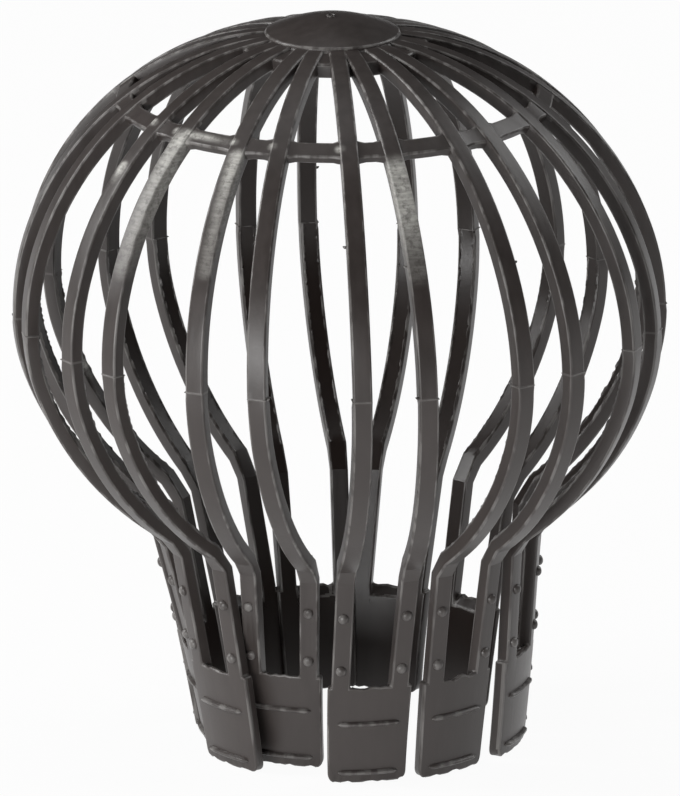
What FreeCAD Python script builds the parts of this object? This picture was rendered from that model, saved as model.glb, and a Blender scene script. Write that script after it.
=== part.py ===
import FreeCAD, Part
import math
import os
import Sketcher

# Downpipe leaf filter: a balloon cage moulded in one piece.  Millimetres, +Z up,
# the ends of the neck fingers stand on Z = 0 and the cage is centred on the Z axis.
# Heights are measured from the finger ends, radii to the outer faces.
SIZES = {
    "pair_count": 12,
    "balloon_radius": 60.0,
    "parting_height": 81.5,
    "neck_height": 41.5,
    "neck_radius": 36.3,
    "foot_radius": 30.5,
    "wall": 2.4,
    "finger_gap": 1.35,
    "foot_corner": 1.4,
    "rib_width": 3.2,
    "lower_rib_width": 3.5,
    "rib_depth": 2.6,
    "rib_half_angle": 5.75,
    "rib_root_radius": 6.0,
    "rib_root_height": 134.3,
    "belly_share_in": 0.08,
    "belly_share_down": 0.29,
    "brow_share_in": 0.0454,
    "brow_share_up": 0.288,
    "sill_height": 19.0,
    "sill_chamfer": 1.6,
    "ridge_low": 2.0,
    "ridge_high": 11.8,
    "ridge_half_height": 0.55,
    "ridge_proud": 0.7,
    "ridge_inset": 1.8,
    "pip_low": 22.5,
    "pip_high": 33.0,
    "pip_radius": 1.0,
    "pip_proud": 0.9,
    "ring_radius": 38.9,
    "ring_width": 3.4,
    "ring_thickness": 2.0,
    "ring_recess": 0.35,
    "hub_radius": 17.3,
    "hub_recess": 0.4,
    "cap_radius": 12.4,
    "cap_step": 0.9,
    "cap_rise": 3.2,
    "cap_brow_share": 0.6,
}

doc = FreeCAD.newDocument("leaf_filter")
sheet = doc.addObject("Spreadsheet::Sheet", "sizes")
for row, (alias, value) in enumerate(SIZES.items(), start=1):
    sheet.set("A%d" % row, alias)
    sheet.set("B%d" % row, repr(value))
    sheet.setAlias("B%d" % row, alias)
doc.recompute()


class V:
    pass


for alias in SIZES:
    setattr(V, alias, float(SIZES[alias]))

body = doc.addObject("PartDesign::Body", "leaf_filter")
body.Label = "leaf_filter"


def origin_feature(role):
    for feature in body.Origin.OriginFeatures:
        if feature.Role == role:
            return feature
    raise RuntimeError("no origin feature " + role)


def new_sketch(name, plane):
    sketch = body.newObject("Sketcher::SketchObject", name)
    sketch.AttachmentSupport = [(origin_feature(plane), "")]
    sketch.MapMode = "FlatFace"
    return sketch


def vec(x, y):
    return FreeCAD.Vector(x, y, 0)


def hold(sketch, kind, first, second, value, name, expression):
    # one driving dimension of a sketch, tied to the sheet
    index = sketch.addConstraint(Sketcher.Constraint(kind, *first, *second, value))
    sketch.renameConstraint(index, name)
    sketch.setExpression("Constraints." + name, expression)


def place(sketch, geo, pos, xy, name, expressions):
    # a point held at sheet-driven distances from the sketch origin
    if expressions[0] is not None:
        hold(sketch, "DistanceX", (-1, 1), (geo, pos), xy[0], name + "_x", expressions[0])
    if expressions[1] is not None:
        hold(sketch, "DistanceY", (-1, 1), (geo, pos), xy[1], name + "_y", expressions[1])


def outline(sketch, points, name):
    # closed polygon; each corner is (x, y, x expression, y expression)
    first = sketch.GeometryCount
    count = len(points)
    for k in range(count):
        a = points[k]
        b = points[(k + 1) % count]
        sketch.addGeometry(Part.LineSegment(vec(a[0], a[1]), vec(b[0], b[1])), False)
    for k in range(count):
        sketch.addConstraint(Sketcher.Constraint(
            "Coincident", first + k, 2, first + (k + 1) % count, 1))
    for k, p in enumerate(points):
        place(sketch, first + k, 1, (p[0], p[1]), "%s%d" % (name, k), (p[2], p[3]))


def arc_geometry(centre, radius, start, end):
    a0 = math.atan2(start[1] - centre[1], start[0] - centre[0])
    a1 = math.atan2(end[1] - centre[1], end[0] - centre[0])
    return Part.ArcOfCircle(Part.Circle(vec(*centre), FreeCAD.Vector(0, 0, 1), radius), a0, a1)


def two_arcs(start, middle, end):
    # centres and radii of an arc leaving start vertically and passing through
    # middle, and of the arc that carries on smoothly from middle to end
    dx = start[0] - middle[0]
    dy = middle[1] - start[1]
    r1 = (dx * dx + dy * dy) / (2 * dx)
    c1 = (start[0] - r1, start[1])
    n = ((c1[0] - middle[0]) / r1, (c1[1] - middle[1]) / r1)
    q = (end[0] - middle[0], end[1] - middle[1])
    r2 = (q[0] ** 2 + q[1] ** 2) / (2 * (n[0] * q[0] + n[1] * q[1]))
    c2 = (middle[0] + n[0] * r2, middle[1] + n[1] * r2)
    return c1, r1, c2, r2


def meet_line(centre, radius, point, direction, sign):
    # where a straight line crosses a circle
    ox = point[0] - centre[0]
    oy = point[1] - centre[1]
    a = direction[0] ** 2 + direction[1] ** 2
    b = 2 * (ox * direction[0] + oy * direction[1])
    c = ox * ox + oy * oy - radius * radius
    t = (-b + sign * math.sqrt(b * b - 4 * a * c)) / (2 * a)
    return point[0] + t * direction[0], point[1] + t * direction[1]


def offset_point(centre, point, step):
    d = math.hypot(point[0] - centre[0], point[1] - centre[1])
    f = (d - step) / d
    return centre[0] + (point[0] - centre[0]) * f, centre[1] + (point[1] - centre[1]) * f


# Driving expressions shared by the profiles
E_BALLOON = "sizes.balloon_radius"
E_PARTING = "sizes.parting_height"
E_BROW_X = "sizes.balloon_radius - sizes.brow_share_in * (sizes.balloon_radius - sizes.rib_root_radius)"
E_BROW_Y = "sizes.parting_height + sizes.brow_share_up * (sizes.rib_root_height - sizes.parting_height)"
E_SPACING = "sizes.balloon_radius * sin(sizes.rib_half_angle * 1 deg)"
E_FINGER = "180 / sizes.pair_count - 90 / pi * sizes.finger_gap / sizes.foot_radius"
E_RIDGE = E_FINGER + " - 180 / pi * sizes.ridge_inset / sizes.foot_radius"
half_spacing = V.balloon_radius * math.sin(math.radians(V.rib_half_angle))

equator = (V.balloon_radius, V.parting_height)
brow = (V.balloon_radius - V.brow_share_in * (V.balloon_radius - V.rib_root_radius),
        V.parting_height + V.brow_share_up * (V.rib_root_height - V.parting_height))
root = (V.rib_root_radius, V.rib_root_height)

# Plate at the foot of one finger: a tapered wall turned through the finger's width,
# its upper inner edge sloped
lean_share = (V.neck_radius - V.foot_radius) / V.neck_height
E_LEAN = "(sizes.neck_radius - sizes.foot_radius) / sizes.neck_height"


def neck_at(height, e_height, inset=0.0, e_inset=""):
    # point of the neck's outer line at a height, moved in by an inset
    return (V.foot_radius + height * lean_share - inset, height,
            "sizes.foot_radius + (" + e_height + ") * " + E_LEAN + e_inset, e_height)


slope_foot = V.sill_height - V.sill_chamfer
E_SLOPE_FOOT = "sizes.sill_height - sizes.sill_chamfer"
section = new_sketch("plate_section", "XZ_Plane")
outline(section, [
    neck_at(0.0, "0", V.wall, " - sizes.wall"),
    neck_at(0.0, "0"),
    neck_at(V.sill_height, "sizes.sill_height"),
    neck_at(V.sill_height, "sizes.sill_height", V.wall - V.sill_chamfer,
            " - sizes.wall + sizes.sill_chamfer"),
    neck_at(slope_foot, E_SLOPE_FOOT, V.wall, " - sizes.wall")], "plate")
shell = body.newObject("PartDesign::Revolution", "finger_plate")
shell.Profile = section
shell.ReferenceAxis = (section, ["V_Axis"])
shell.Midplane = True
shell.setExpression("Angle", "2 * (" + E_FINGER + ")")
doc.recompute()

# Cut lower corners of the finger plate
edges = []
for number, edge in enumerate(shell.Shape.Edges, start=1):
    ends = [v.Point for v in edge.Vertexes]
    if len(ends) == 2 and all(abs(p.z) < 1e-6 for p in ends):
        if abs(abs(ends[0].y / ends[0].x) - abs(ends[1].y / ends[1].x)) < 1e-6:
            if ends[0].y * ends[1].y > 0:
                edges.append("Edge%d" % number)
corners = body.newObject("PartDesign::Chamfer", "foot_corners")
corners.Base = (shell, edges)
corners.setExpression("Size", "sizes.foot_corner")
doc.recompute()

# Two grip ridges across the outside of the plate
ridge = new_sketch("ridges", "XZ_Plane")
for name in ("ridge_low", "ridge_high"):
    z = getattr(V, name)
    e = "sizes." + name
    face = V.foot_radius + z * lean_share
    e_face = "sizes.foot_radius + " + e + " * " + E_LEAN
    h = V.ridge_half_height
    e_h = "sizes.ridge_half_height"
    outline(ridge, [
        (face - V.wall / 2, z - h, e_face + " - sizes.wall / 2", e + " - " + e_h),
        (face, z - h, e_face, e + " - " + e_h),
        (face + V.ridge_proud, z, e_face + " + sizes.ridge_proud", e),
        (face, z + h, e_face, e + " + " + e_h),
        (face - V.wall / 2, z + h, e_face + " - sizes.wall / 2", e + " + " + e_h)], name)
ridges = body.newObject("PartDesign::Revolution", "grip_ridges")
ridges.Profile = ridge
ridges.ReferenceAxis = (ridge, ["V_Axis"])
ridges.Midplane = True
ridges.setExpression("Angle", "2 * (" + E_RIDGE + ")")
doc.recompute()

# Neck ribs of the finger, each in a plane through the axis that meets its belly rib at
# the bend; the lower end is let into the plate
neck_angle = math.degrees(math.asin(half_spacing / V.neck_radius))
E_NECK_ANGLE = "asin((" + E_SPACING + ") / sizes.neck_radius)"
rib_top = V.neck_height + V.wall / 2
E_RIB_TOP = "sizes.neck_height + sizes.wall / 2"
toe = V.sill_height - 2 * V.sill_chamfer
E_TOE = "sizes.sill_height - 2 * sizes.sill_chamfer"
for name, sign in (("left", "-"), ("right", "")):
    profile = new_sketch(name + "_neck_rib", "XZ_Plane")
    profile.AttachmentOffset = FreeCAD.Placement(
        FreeCAD.Vector(0, 0, 0), FreeCAD.Rotation(FreeCAD.Vector(0, 1, 0), 1.0))
    profile.setExpression("AttachmentOffset.Rotation.Angle", sign + E_NECK_ANGLE)
    outline(profile, [
        neck_at(V.sill_height, "sizes.sill_height"),
        neck_at(rib_top, E_RIB_TOP),
        neck_at(rib_top, E_RIB_TOP, V.wall, " - sizes.wall"),
        neck_at(slope_foot, E_SLOPE_FOOT, V.wall, " - sizes.wall"),
        neck_at(toe, E_TOE, V.wall / 2, " - sizes.wall / 2")], "neck")
    rib = body.newObject("PartDesign::Pad", name + "_neck_pad")
    rib.Profile = profile
    rib.SideType = "Symmetric"
    rib.setExpression("Length", "sizes.lower_rib_width")
    doc.recompute()

    # two pips on its outer face
    for pip in ("pip_low", "pip_high"):
        z = getattr(V, pip)
        e = "sizes." + pip
        dots = new_sketch(name + "_" + pip, "YZ_Plane")
        dots.AttachmentOffset = FreeCAD.Placement(
            FreeCAD.Vector(0, 0, 0), FreeCAD.Rotation(FreeCAD.Vector(0, 1, 0), 1.0))
        dots.setExpression("AttachmentOffset.Rotation.Angle", sign + E_NECK_ANGLE)
        reach = V.foot_radius + z * lean_share - V.wall / 2
        e_reach = "(sizes.foot_radius + " + e + " * " + E_LEAN + " - sizes.wall / 2)"
        turned = sign + E_NECK_ANGLE
        dots.setExpression("AttachmentOffset.Base.x", e_reach + " * sin(" + turned + ")")
        dots.setExpression("AttachmentOffset.Base.z", e_reach + " * cos(" + turned + ")")
        rim = []
        for k in range(4):
            turn = 90.0 * k
            rim.append((
                V.pip_radius * math.cos(math.radians(turn)),
                z + V.pip_radius * math.sin(math.radians(turn)),
                "sizes.pip_radius * cos(%g deg)" % turn,
                "%s + sizes.pip_radius * sin(%g deg)" % (e, turn)))
        outline(dots, rim, "pip")
        pad = body.newObject("PartDesign::Pad", name + "_" + pip + "_pad")
        pad.Profile = dots
        pad.setExpression("Length", "sizes.wall / 2 + sizes.pip_proud")
        doc.recompute()

# Belly ribs of the pair, in two parallel planes, their tails let into the neck wall
start = (V.balloon_radius * math.cos(math.radians(V.rib_half_angle)), V.parting_height)
E_START = "sizes.balloon_radius * cos(sizes.rib_half_angle * 1 deg)"
bend = (math.sqrt(V.neck_radius ** 2 - half_spacing ** 2), V.neck_height)
E_BEND = "sqrt(sizes.neck_radius^2 - (" + E_SPACING + ")^2)"
belly = (start[0] - V.belly_share_in * (start[0] - bend[0]),
         V.parting_height - V.belly_share_down * (V.parting_height - V.neck_height))
E_BELLY_X = E_START + " - sizes.belly_share_in * (" + E_START + " - " + E_BEND + ")"
E_BELLY_Y = "sizes.parting_height - sizes.belly_share_down * (sizes.parting_height - sizes.neck_height)"
c1, r1, c2, r2 = two_arcs(start, belly, bend)
inner_start = (start[0] - V.rib_depth, V.parting_height)
inner_belly = offset_point(c1, belly, V.rib_depth)
heel_x = bend[0] - V.wall * 0.9
inner_bend = meet_line(c2, r2 - V.rib_depth, (heel_x, 0.0), (0.0, 1.0), -1.0)
tail = (bend[0] - V.wall / 2, V.neck_height - V.wall)
E_TAIL_X = E_BEND + " - sizes.wall / 2"
for name, sign in (("left", "-"), ("right", "")):
    profile = new_sketch(name + "_belly_rib", "XZ_Plane")
    profile.setExpression("AttachmentOffset.Base.z", sign + "(" + E_SPACING + ")")
    profile.addGeometry(arc_geometry(c1, r1, belly, start), False)
    profile.addGeometry(arc_geometry(c2, r2, bend, belly), False)
    profile.addGeometry(Part.LineSegment(vec(*bend), vec(*tail)), False)
    profile.addGeometry(Part.LineSegment(vec(*tail), vec(*inner_bend)), False)
    profile.addGeometry(arc_geometry(c2, r2 - V.rib_depth, inner_bend, inner_belly), False)
    profile.addGeometry(arc_geometry(c1, r1 - V.rib_depth, inner_belly, inner_start), False)
    profile.addGeometry(Part.LineSegment(vec(*inner_start), vec(*start)), False)
    for rule in (("Tangent", 0, 1, 1, 2), ("Coincident", 1, 1, 2, 1), ("Coincident", 2, 2, 3, 1),
                 ("Coincident", 3, 2, 4, 1), ("Tangent", 4, 2, 5, 1), ("Coincident", 5, 2, 6, 1),
                 ("Coincident", 6, 2, 0, 2), ("Coincident", 0, 3, 5, 3), ("Coincident", 1, 3, 4, 3),
                 ("Horizontal", 6)):
        profile.addConstraint(Sketcher.Constraint(*rule))
    place(profile, 0, 2, start, "start", (E_START, E_PARTING))
    place(profile, 0, 3, c1, "belly_centre", (None, E_PARTING))
    place(profile, 0, 1, belly, "belly", (E_BELLY_X, E_BELLY_Y))
    place(profile, 1, 1, bend, "bend", (E_BEND, "sizes.neck_height"))
    place(profile, 2, 2, tail, "tail", (E_TAIL_X, "sizes.neck_height - sizes.wall"))
    place(profile, 3, 2, inner_bend, "heel", (E_BEND + " - sizes.wall * 0.9", None))
    place(profile, 5, 2, inner_start, "inner_start", (E_START + " - sizes.rib_depth", None))
    rib = body.newObject("PartDesign::Pad", name + "_belly_pad")
    rib.Profile = profile
    rib.SideType = "Symmetric"
    rib.setExpression("Length", "sizes.lower_rib_width")
    doc.recompute()

# Upper ribs of the pair, each in its own plane through the axis
u1, s1, u2, s2 = two_arcs(equator, brow, root)


def crown_arcs(sketch, construction):
    first = sketch.GeometryCount
    sketch.addGeometry(arc_geometry(u1, s1, equator, brow), construction)
    sketch.addGeometry(arc_geometry(u2, s2, brow, root), construction)
    sketch.addConstraint(Sketcher.Constraint("Tangent", first, 2, first + 1, 1))
    place(sketch, first, 1, equator, "equator", (E_BALLOON, E_PARTING))
    place(sketch, first, 3, u1, "brow_centre", (None, E_PARTING))
    place(sketch, first, 2, brow, "brow", (E_BROW_X, E_BROW_Y))
    place(sketch, first + 1, 2, root, "root", ("sizes.rib_root_radius", "sizes.rib_root_height"))
    return first


inner_equator = (V.balloon_radius - V.rib_depth, V.parting_height)
inner_brow = offset_point(u1, brow, V.rib_depth)
inner_root = meet_line(u2, s2 - V.rib_depth, (V.rib_root_radius, 0.0), (0.0, 1.0), 1.0)
for name, sign in (("left", "-"), ("right", "")):
    profile = new_sketch(name + "_rib", "XZ_Plane")
    profile.AttachmentOffset = FreeCAD.Placement(
        FreeCAD.Vector(0, 0, 0), FreeCAD.Rotation(FreeCAD.Vector(0, 1, 0), 1.0))
    profile.setExpression("AttachmentOffset.Rotation.Angle", sign + "sizes.rib_half_angle")
    crown_arcs(profile, False)
    profile.addGeometry(Part.LineSegment(vec(*root), vec(*inner_root)), False)
    profile.addGeometry(arc_geometry(u2, s2 - V.rib_depth, inner_brow, inner_root), False)
    profile.addGeometry(arc_geometry(u1, s1 - V.rib_depth, inner_equator, inner_brow), False)
    profile.addGeometry(Part.LineSegment(vec(*inner_equator), vec(*equator)), False)
    for rule in (("Coincident", 1, 2, 2, 1), ("Coincident", 2, 2, 3, 2), ("Tangent", 3, 1, 4, 2),
                 ("Coincident", 4, 1, 5, 1), ("Coincident", 5, 2, 0, 1), ("Vertical", 2),
                 ("Horizontal", 5), ("Coincident", 0, 3, 4, 3), ("Coincident", 1, 3, 3, 3)):
        profile.addConstraint(Sketcher.Constraint(*rule))
    place(profile, 4, 1, inner_equator, "inner_equator",
          ("sizes.balloon_radius - sizes.rib_depth", None))
    rib = body.newObject("PartDesign::Pad", name + "_rib_pad")
    rib.Profile = profile
    rib.SideType = "Symmetric"
    rib.setExpression("Length", "sizes.rib_width")
    doc.recompute()

# The unit repeated round the axis
pattern = body.newObject("PartDesign::PolarPattern", "units")
pattern.TransformMode = "Whole shape"
pattern.Axis = (origin_feature("Z_Axis"), [""])
pattern.Angle = 360
pattern.setExpression("Occurrences", "sizes.pair_count")
body.Tip = pattern
doc.recompute()

# Ring that ties the upper ribs together, its face just below theirs
band = new_sketch("ring_section", "XZ_Plane")
crown_arcs(band, True)
touch = meet_line(u2, s2, (V.ring_radius, 0.0), (0.0, 1.0), 1.0)
out = ((touch[0] - u2[0]) / s2, (touch[1] - u2[1]) / s2)
along = (out[1], -out[0])


def ring_corner(depth, side):
    return (touch[0] - out[0] * depth + along[0] * side, touch[1] - out[1] * depth + along[1] * side)


d0 = V.ring_recess
d1 = V.ring_recess + V.ring_thickness
half = V.ring_width / 2
middle = ring_corner(d0, 0)
quad = [ring_corner(d0, -half), ring_corner(d0, half), ring_corner(d1, half), ring_corner(d1, -half)]
band.addGeometry(Part.LineSegment(vec(*u2), vec(*touch)), True)
for k in range(4):
    band.addGeometry(Part.LineSegment(vec(*quad[k]), vec(*quad[(k + 1) % 4])), False)
band.addGeometry(Part.Point(vec(*middle)), True)
for rule in (("Coincident", 2, 1, 1, 3), ("PointOnObject", 2, 2, 1), ("Coincident", 3, 2, 4, 1),
             ("Coincident", 4, 2, 5, 1), ("Coincident", 5, 2, 6, 1), ("Coincident", 6, 2, 3, 1),
             ("Perpendicular", 3, 2), ("Parallel", 4, 2), ("Parallel", 5, 3), ("Parallel", 6, 2),
             ("PointOnObject", 7, 1, 2), ("Symmetric", 3, 1, 3, 2, 7, 1)):
    band.addConstraint(Sketcher.Constraint(*rule))
place(band, 2, 2, touch, "touch", ("sizes.ring_radius", None))
hold(band, "Distance", (3, 1), (3, 2), V.ring_width, "width", "sizes.ring_width")
hold(band, "Distance", (4, 1), (4, 2), V.ring_thickness, "thickness", "sizes.ring_thickness")
hold(band, "Distance", (7, 1), (2, 2), V.ring_recess, "recess", "sizes.ring_recess")
ring = body.newObject("PartDesign::Revolution", "tie_ring")
ring.Profile = band
ring.ReferenceAxis = (band, ["V_Axis"])
ring.Angle = 360
doc.recompute()

# Hub that gathers the ribs, its sloped top a little below their outer faces, with the low
# two-slope cap standing on it
hub = new_sketch("cap_section", "XZ_Plane")
crown_arcs(hub, True)
crest = meet_line(u2, s2, (V.hub_radius, 0.0), (0.0, 1.0), 1.0)
shoulder = meet_line(u2, s2, (V.cap_radius, 0.0), (0.0, 1.0), 1.0)
hub_top = crest[1] - V.hub_recess
under = hub_top - V.rib_depth
cap_foot = shoulder[1] - V.hub_recess
rim_top = cap_foot + V.cap_step
brow_of_cap = (V.cap_radius * V.cap_brow_share, rim_top + V.cap_rise * V.cap_brow_share)
corners_of_cap = [(0.0, under), (V.hub_radius, under), (V.hub_radius, hub_top), (V.cap_radius, cap_foot),
                  (V.cap_radius, rim_top), brow_of_cap, (0.0, rim_top + V.cap_rise)]
for k in range(7):
    hub.addGeometry(Part.LineSegment(vec(*corners_of_cap[k]), vec(*corners_of_cap[(k + 1) % 7])), False)
hub.addGeometry(Part.Point(vec(*crest)), True)
hub.addGeometry(Part.Point(vec(*shoulder)), True)
for k in range(7):
    hub.addConstraint(Sketcher.Constraint("Coincident", 2 + k, 2, 2 + (k + 1) % 7, 1))
for rule in (("Horizontal", 2), ("Vertical", 3), ("Vertical", 5), ("PointOnObject", 2, 1, -2),
             ("PointOnObject", 8, 1, -2), ("PointOnObject", 9, 1, 1), ("PointOnObject", 10, 1, 1)):
    hub.addConstraint(Sketcher.Constraint(*rule))
place(hub, 3, 2, corners_of_cap[2], "edge", ("sizes.hub_radius", None))
place(hub, 9, 1, crest, "crest", ("sizes.hub_radius", None))
place(hub, 5, 1, corners_of_cap[3], "rim", ("sizes.cap_radius", None))
place(hub, 10, 1, shoulder, "shoulder", ("sizes.cap_radius", None))
place(hub, 7, 1, brow_of_cap, "cap_brow", ("sizes.cap_radius * sizes.cap_brow_share", None))
hold(hub, "DistanceY", (3, 2), (9, 1), V.hub_recess, "recess", "sizes.hub_recess")
hold(hub, "DistanceY", (5, 1), (10, 1), V.hub_recess, "shoulder_recess", "sizes.hub_recess")
hold(hub, "DistanceY", (3, 1), (3, 2), V.rib_depth, "thickness", "sizes.rib_depth")
hold(hub, "DistanceY", (5, 1), (5, 2), V.cap_step, "step", "sizes.cap_step")
hold(hub, "DistanceY", (5, 2), (7, 1), V.cap_rise * V.cap_brow_share, "cap_brow_rise",
     "sizes.cap_rise * sizes.cap_brow_share")
hold(hub, "DistanceY", (5, 2), (8, 1), V.cap_rise, "rise", "sizes.cap_rise")
cap = body.newObject("PartDesign::Revolution", "hub_and_cap")
cap.Profile = hub
cap.ReferenceAxis = (hub, ["V_Axis"])
cap.Angle = 360
doc.recompute()
body.Tip = cap
doc.recompute()

for obj in doc.Objects:
    state = [s for s in obj.State if s in ("Invalid", "Error")]
    if state:
        raise RuntimeError("%s is %s" % (obj.Name, state))
shape = body.Shape
if shape.isNull() or not shape.isValid() or len(shape.Solids) != 1:
    raise RuntimeError("the moulding is not one sound solid: %d" % len(shape.Solids))

os.makedirs("parts", exist_ok=True)
shape.exportStep("parts/leaf_filter.step")
print("volume", round(shape.Volume, 1), "faces", len(shape.Faces), "box", shape.BoundBox)
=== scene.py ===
import bmesh
import bpy
import math
import random
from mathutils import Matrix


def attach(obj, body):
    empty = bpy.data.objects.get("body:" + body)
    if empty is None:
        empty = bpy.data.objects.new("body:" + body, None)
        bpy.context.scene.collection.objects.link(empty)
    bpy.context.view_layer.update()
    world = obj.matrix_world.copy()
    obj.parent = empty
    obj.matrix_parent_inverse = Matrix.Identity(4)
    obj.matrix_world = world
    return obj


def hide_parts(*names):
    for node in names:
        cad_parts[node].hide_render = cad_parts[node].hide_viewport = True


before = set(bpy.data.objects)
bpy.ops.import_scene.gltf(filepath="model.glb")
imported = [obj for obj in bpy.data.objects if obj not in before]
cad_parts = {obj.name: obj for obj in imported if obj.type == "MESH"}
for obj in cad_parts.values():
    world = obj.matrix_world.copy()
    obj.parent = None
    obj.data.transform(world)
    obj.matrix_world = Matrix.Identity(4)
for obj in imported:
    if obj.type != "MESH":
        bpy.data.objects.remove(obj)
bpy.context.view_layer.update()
bpy.ops.object.select_all(action="DESELECT")

# Finger of the cage: a tapered plate at the foot whose two uprights bend out into the belly ribs
# and close over the top as the upper ribs. It is moulded in black polypropylene with the rest of
# the cage, and is modelled once, in millimetres, with the finger on the +X side.
FOOT_RADIUS = 30.5
NECK_RADIUS = 36.3
BEND_HEIGHT = 41.5
SILL_HEIGHT = 19.0
NECK_LEAN = (NECK_RADIUS - FOOT_RADIUS) / BEND_HEIGHT
PLATE_WALL = 2.4
PLATE_HALF_FOOT = 7.31
PLATE_HALF_SILL = 7.95
WINDOW_HALF_SILL = 3.78
UPRIGHT_EDGE_SILL = 7.3
UPRIGHT_MIDDLE = 6.04
RIB_WIDTH = 3.5
SILL_SLOPE = 1.6
FOOT_CORNER = 1.7
FOOT_CORNER_STEPS = 5
EDGE_ROUND = 0.38
EDGE_STEPS = 3
SHARP_ANGLE = math.radians(35)
# what counts as touching, in millimetres, and as facing along an axis
NEAR = 0.01
ALIGNED = 0.9
MERGE_GAP = 0.001


def neck_radius(height):
    """Radius of the neck's outer face at this height."""
    return FOOT_RADIUS + height * NECK_LEAN


def choose(piece):
    """Makes one piece alone the selected and active one."""
    bpy.ops.object.select_all(action="DESELECT")
    piece.select_set(True)
    bpy.context.view_layer.objects.active = piece


def settle():
    """Puts the selected piece's place, turn and size into its mesh."""
    bpy.ops.object.transform_apply(location=True, rotation=True, scale=True)


def open_piece(piece):
    """Opens one piece alone in edit mode with nothing picked."""
    choose(piece)
    bpy.ops.object.mode_set(mode="EDIT")
    bpy.ops.mesh.select_all(action="DESELECT")


def close_piece():
    bpy.ops.object.mode_set(mode="OBJECT")


def pick(kind, wanted):
    """Picks the faces, edges or corners whose middle, and normal or direction, are wanted."""
    bpy.ops.mesh.select_mode(type=kind)
    bpy.ops.mesh.select_all(action="DESELECT")
    mesh = bmesh.from_edit_mesh(bpy.context.edit_object.data)
    if kind == "FACE":
        found = [(face, face.calc_center_median(), face.normal) for face in mesh.faces]
    elif kind == "EDGE":
        found = [(edge, (edge.verts[0].co + edge.verts[1].co) / 2,
                  (edge.verts[1].co - edge.verts[0].co).normalized()) for edge in mesh.edges]
    else:
        found = [(corner, corner.co, corner.normal) for corner in mesh.verts]
    for part, middle, heading in found:
        if wanted(middle, heading):
            part.select_set(True)
    mesh.select_flush_mode()
    bmesh.update_edit_mesh(bpy.context.edit_object.data)


def cut(place, heading):
    """A straight cut right through the open piece."""
    bpy.ops.mesh.select_all(action="SELECT")
    bpy.ops.mesh.bisect(plane_co=place, plane_no=heading)


def merge_open_piece(gap):
    """Merges corners of the open piece that meet, and turns its faces outwards."""
    bpy.ops.mesh.select_all(action="SELECT")
    bpy.ops.mesh.remove_doubles(threshold=gap)
    bpy.ops.mesh.normals_make_consistent(inside=False)


def apply_modifier(piece, kind, **settings):
    choose(piece)
    modifier = piece.modifiers.new(kind.title(), kind)
    for name, value in settings.items():
        setattr(modifier, name, value)
    bpy.ops.object.modifier_apply(modifier=modifier.name)


bpy.ops.mesh.primitive_cube_add(
    size=1, location=(-PLATE_WALL / 2, PLATE_HALF_FOOT / 2, SILL_HEIGHT / 2))
finger = bpy.context.object
finger.name = "finger"
finger.scale = (PLATE_WALL, PLATE_HALF_FOOT, SILL_HEIGHT)
settle()

# the half plate widens upwards and is cut where the upright and the sloped sill begin
BEND_LOW = 39.8
SILL_EDGE = 0.15
SILL_CUTS = (0.95, 1.9, 2.8, WINDOW_HALF_SILL - SILL_EDGE, WINDOW_HALF_SILL, 5.0, 6.2)
PLATE_LOOPS = (4.2, 6.6, 9.2, 14.2)
SHOULDER_DEPTH = 3.0
open_piece(finger)
pick("VERT", lambda at, to: at.z > SILL_HEIGHT / 2 and at.y > PLATE_HALF_FOOT / 2)
bpy.ops.transform.translate(value=(0, PLATE_HALF_SILL - PLATE_HALF_FOOT, 0))
for across in SILL_CUTS:
    cut((0, across, 0), (0, 1, 0))
cut((SILL_SLOPE - PLATE_WALL, 0, 0), (1, 0, 0))
for height in PLATE_LOOPS:
    cut((0, 0, height), (0, 0, 1))
cut((0, 0, SILL_HEIGHT - SHOULDER_DEPTH), (0, 0, 1))
pick("FACE", lambda at, to: at.z > SILL_HEIGHT - SHOULDER_DEPTH + NEAR)
bpy.ops.mesh.bisect(plane_co=(0, UPRIGHT_EDGE_SILL, 0), plane_no=(0, 1, 0))
pick("FACE", lambda at, to: at.z > SILL_HEIGHT - NEAR
     and WINDOW_HALF_SILL < at.y < UPRIGHT_EDGE_SILL)
bpy.ops.mesh.extrude_region_move(TRANSFORM_OT_translate={"value": (0, 0, BEND_LOW - SILL_HEIGHT)})
sill_width = UPRIGHT_EDGE_SILL - WINDOW_HALF_SILL
sill_middle = (UPRIGHT_EDGE_SILL + WINDOW_HALF_SILL) / 2
bpy.ops.transform.resize(
    value=(1, RIB_WIDTH / sill_width, 1), center_override=(0, sill_middle, BEND_LOW))
bpy.ops.transform.translate(value=(0, UPRIGHT_MIDDLE - sill_middle, 0))

# sloped inner edge of the sill, rounded foot corner, and the open middle for mirroring
pick("VERT", lambda at, to: at.x < NEAR - PLATE_WALL and abs(at.z - SILL_HEIGHT) < NEAR
     and at.y < WINDOW_HALF_SILL - NEAR)
bpy.ops.transform.translate(value=(0, 0, -SILL_SLOPE))
pick("EDGE", lambda at, to: at.z < NEAR and at.y > PLATE_HALF_FOOT - NEAR and abs(to.x) > ALIGNED)
bpy.ops.mesh.bevel(offset=FOOT_CORNER, segments=FOOT_CORNER_STEPS, affect="EDGES")
pick("FACE", lambda at, to: at.y < NEAR)
bpy.ops.mesh.delete(type="FACE")
close_piece()

# the flat half finger is wrapped on the neck's cone, and its top is mitred for the bend
BEND_HEEL = 0.6
for corner in finger.data.vertices:
    depth = -corner.co.x
    outer = neck_radius(corner.co.z)
    if corner.co.z > BEND_LOW - NEAR:
        corner.co.z += depth / PLATE_WALL * BEND_HEEL
    turn = corner.co.y / outer
    corner.co.x = (outer - depth) * math.cos(turn)
    corner.co.y = (outer - depth) * math.sin(turn)

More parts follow.
